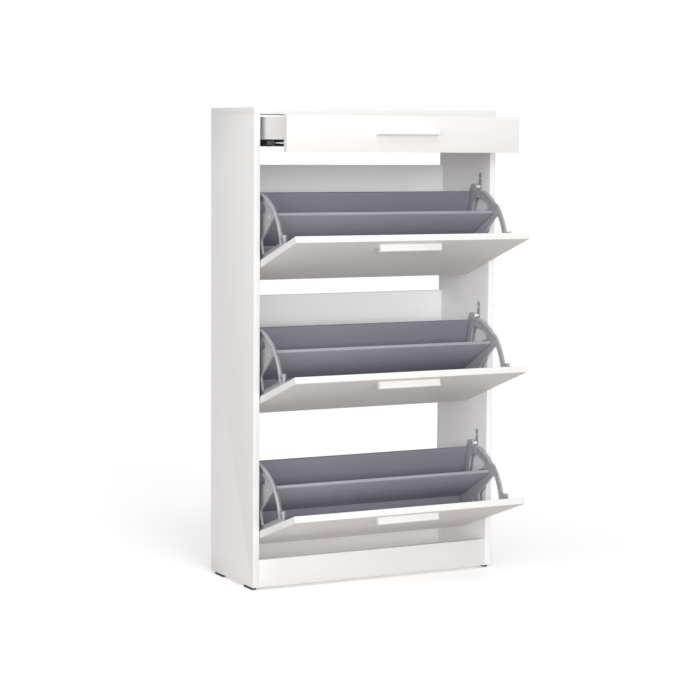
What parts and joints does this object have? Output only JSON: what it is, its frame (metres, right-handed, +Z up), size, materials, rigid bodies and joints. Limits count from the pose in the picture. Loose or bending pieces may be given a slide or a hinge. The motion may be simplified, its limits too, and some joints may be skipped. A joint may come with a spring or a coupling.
{
  "type": "shoe cabinet",
  "caption": "Narrow upright shoe cabinet with a shallow top drawer over tip-out flap bins, each with a divided shoe rack on pivoting side brackets.",
  "frame": {"origin": "on the floor, middle of the width, middle of the depth that the cabinet takes with its bins tipped out", "axes": "+X to the right seen from the front, front faces -Y, +Z up"},
  "size_m": [0.63, 0.4166, 1.0935],
  "materials": {
    "white_board": "white melamine-faced chipboard with white edge banding, satin",
    "white_hardboard": "thin hardboard, white on its upper face",
    "grey_board": "thin grey-faced board, matt",
    "lilac_board": "thin board with a pale lavender-grey face, matt",
    "bracket_plastic": "injection-moulded grey plastic, fine texture",
    "fitting_plastic": "moulded grey plastic",
    "handle_plastic": "white moulded plastic, semi-gloss",
    "foot_plastic": "hard black plastic glide",
    "cap_plastic": "white plastic cover cap",
    "dowel_wood": "bare beech",
    "zinc": "die-cast zinc",
    "screw_steel": "zinc-plated steel",
    "slide_steel": "rolled zinc-plated steel strip",
    "slide_black": "black-coated steel strip",
    "ball_steel": "polished bearing steel"
  },
  "bodies": {
    "carcass": {"back_rail_lower": "white_board", "back_rail_middle": "white_board", "back_rail_upper": "white_board", "carcass_screws": "screw_steel", "fitting_screws": "screw_steel", "foot_pads": "foot_plastic", "pivot_bases": "fitting_plastic", "plinth": "white_board", "rail_dowels": "dowel_wood", "screw_caps": "cap_plastic", "side_left": "white_board", "side_right": "white_board", "slide_outer_left": "slide_steel", "slide_outer_right": "slide_steel", "stop_brackets": "fitting_plastic", "top_cam_bolts": "screw_steel", "top_cams": "zinc", "top_dowels": "dowel_wood", "top_panel": "white_board"},
    "flap_upper": {"flap_upper_bracket_left": "bracket_plastic", "flap_upper_bracket_right": "bracket_plastic", "flap_upper_divider": "grey_board", "flap_upper_floor_board": "lilac_board", "flap_upper_handle": "handle_plastic", "flap_upper_panel": "white_board", "flap_upper_rear_board": "grey_board", "flap_upper_screws": "screw_steel"},
    "flap_middle": {"flap_middle_bracket_left": "bracket_plastic", "flap_middle_bracket_right": "bracket_plastic", "flap_middle_divider": "grey_board", "flap_middle_floor_board": "lilac_board", "flap_middle_handle": "handle_plastic", "flap_middle_panel": "white_board", "flap_middle_rear_board": "grey_board", "flap_middle_screws": "screw_steel"},
    "flap_lower": {"flap_lower_bracket_left": "bracket_plastic", "flap_lower_bracket_right": "bracket_plastic", "flap_lower_divider": "grey_board", "flap_lower_floor_board": "lilac_board", "flap_lower_handle": "handle_plastic", "flap_lower_panel": "white_board", "flap_lower_rear_board": "grey_board", "flap_lower_screws": "screw_steel"},
    "drawer": {"drawer_back": "white_board", "drawer_bottom": "white_hardboard", "drawer_front": "white_board", "drawer_handle": "handle_plastic", "drawer_screws": "screw_steel", "drawer_side_left": "white_board", "drawer_side_right": "white_board", "slide_inner_left": "slide_steel", "slide_inner_right": "slide_steel"},
    "slide_middle_left": {"slide_middle_left": "slide_black", "slide_balls_left": "ball_steel"},
    "slide_middle_right": {"slide_middle_right": "slide_black", "slide_balls_right": "ball_steel"}
  },
  "joints": [
    {"name": "tip_upper", "type": "hinge", "parent": "carcass", "child": "flap_upper", "pos_m": [0, 0.01831, 0.7685], "axis": [-1, 0, 0], "range_deg": [0, 70.7]},
    {"name": "tip_middle", "type": "hinge", "parent": "carcass", "child": "flap_middle", "pos_m": [0, 0.01831, 0.461], "axis": [-1, 0, 0], "range_deg": [0, 70.7]},
    {"name": "tip_lower", "type": "hinge", "parent": "carcass", "child": "flap_lower", "pos_m": [0, 0.01831, 0.1535], "axis": [-1, 0, 0], "range_deg": [0, 70.7]},
    {"name": "drawer_pull", "type": "slide", "parent": "carcass", "child": "drawer", "axis": [0, -1, 0], "range_m": [-0.131, 0.019]},
    {"name": "slide_run_left", "type": "slide", "parent": "carcass", "child": "slide_middle_left", "axis": [0, -1, 0], "range_m": [-0.0655, 0.0095]},
    {"name": "slide_run_right", "type": "slide", "parent": "carcass", "child": "slide_middle_right", "axis": [0, -1, 0], "range_m": [-0.0655, 0.0095]}
  ],
  "couplings": [
    {"joint": "slide_run_left", "follows": "drawer_pull", "ratio": 0.5},
    {"joint": "slide_run_right", "follows": "drawer_pull", "ratio": 0.5}
  ]
}
